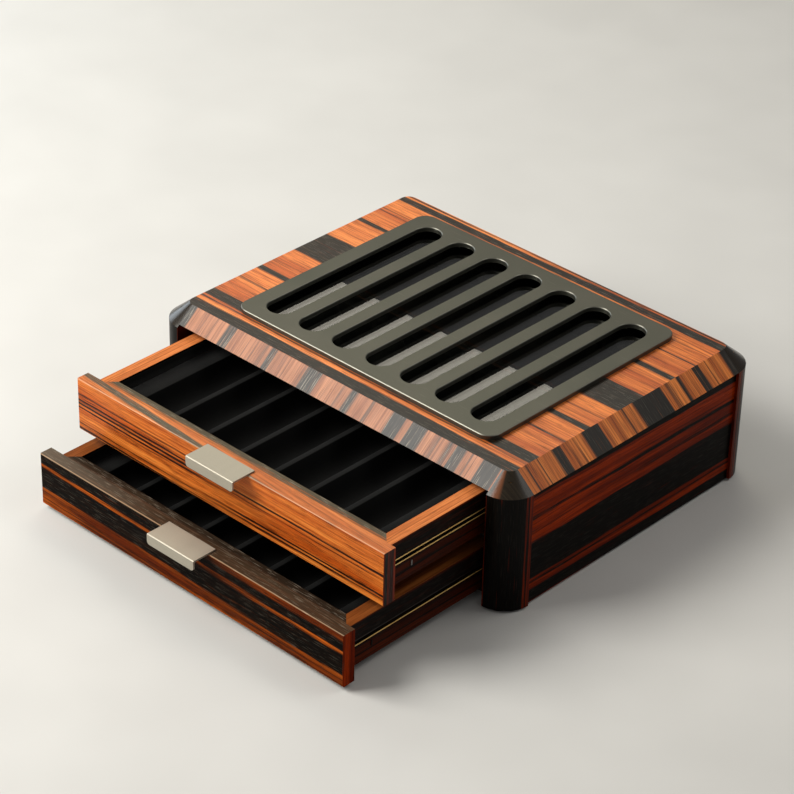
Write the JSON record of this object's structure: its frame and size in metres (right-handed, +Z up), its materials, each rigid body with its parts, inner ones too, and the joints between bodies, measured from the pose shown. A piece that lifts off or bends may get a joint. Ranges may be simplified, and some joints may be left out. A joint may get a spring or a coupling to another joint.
{
  "type": "pen collector chest",
  "caption": "Low wooden chest for pens: bevelled lid with a slotted metal plate over a glass window, and shallow drawers with grooved trays on side runners.",
  "frame": {"origin": "on the table under the middle of the case, at the underside of the base felt", "axes": "+X right along the front, +Y from the drawers to the back, +Z up"},
  "size_m": [0.3, 0.3572, 0.0947],
  "materials": {
    "case_wood": "satin",
    "drawer_wood": "satin",
    "plain_wood": "matt",
    "plate_metal": "satin anodised",
    "handle_metal": "fine satin",
    "runner_steel": "brushed",
    "channel_brass": "polished",
    "glass": "clear",
    "felt": "napped",
    "tray_board": "matt"
  },
  "bodies": {
    "case": {"lid_panel": "case_wood", "back_panel": "case_wood", "side_panel_left": "case_wood", "side_panel_right": "case_wood", "front_left_post": "case_wood", "front_right_post": "case_wood", "rear_left_post": "case_wood", "rear_right_post": "case_wood", "base_panel": "plain_wood", "divider_panel": "plain_wood", "lid_dowels": "plain_wood", "drawer_buffers": "plain_wood", "upper_stop_cleats": "plain_wood", "lower_stop_cleats": "plain_wood", "window_glass": "glass", "slot_plate": "plate_metal", "plate_studs": "runner_steel", "base_felt": "felt", "runner_screws": "runner_steel", "upper_left_runner_batten": "plain_wood", "upper_left_runner_bar": "runner_steel", "upper_right_runner_batten": "plain_wood", "upper_right_runner_bar": "runner_steel", "lower_left_runner_batten": "plain_wood", "lower_left_runner_bar": "runner_steel", "lower_right_runner_batten": "plain_wood", "lower_right_runner_bar": "runner_steel"},
    "upper_drawer": {"upper_front": "drawer_wood", "upper_box_front": "drawer_wood", "upper_box_back": "drawer_wood", "upper_side_left": "drawer_wood", "upper_side_right": "drawer_wood", "upper_bottom": "plain_wood", "upper_channel_left": "channel_brass", "upper_channel_right": "channel_brass", "upper_tray": "tray_board", "upper_tray_lining": "felt", "upper_wall_lining": "felt", "upper_handle": "handle_metal", "upper_catch_tabs": "runner_steel", "upper_stop_tabs": "runner_steel"},
    "lower_drawer": {"lower_front": "drawer_wood", "lower_box_front": "drawer_wood", "lower_box_back": "drawer_wood", "lower_side_left": "drawer_wood", "lower_side_right": "drawer_wood", "lower_bottom": "plain_wood", "lower_channel_left": "channel_brass", "lower_channel_right": "channel_brass", "lower_tray": "tray_board", "lower_tray_lining": "felt", "lower_wall_lining": "felt", "lower_handle": "handle_metal", "lower_catch_tabs": "runner_steel", "lower_stop_tabs": "runner_steel"}
  },
  "joints": [
    {"name": "upper_drawer_slide", "type": "slide", "parent": "case", "child": "upper_drawer", "axis": [0, -1, 0], "range_m": [-0.0852, 0.0648]},
    {"name": "lower_drawer_slide", "type": "slide", "parent": "case", "child": "lower_drawer", "axis": [0, -1, 0], "range_m": [-0.1168, 0.0332]}
  ]
}
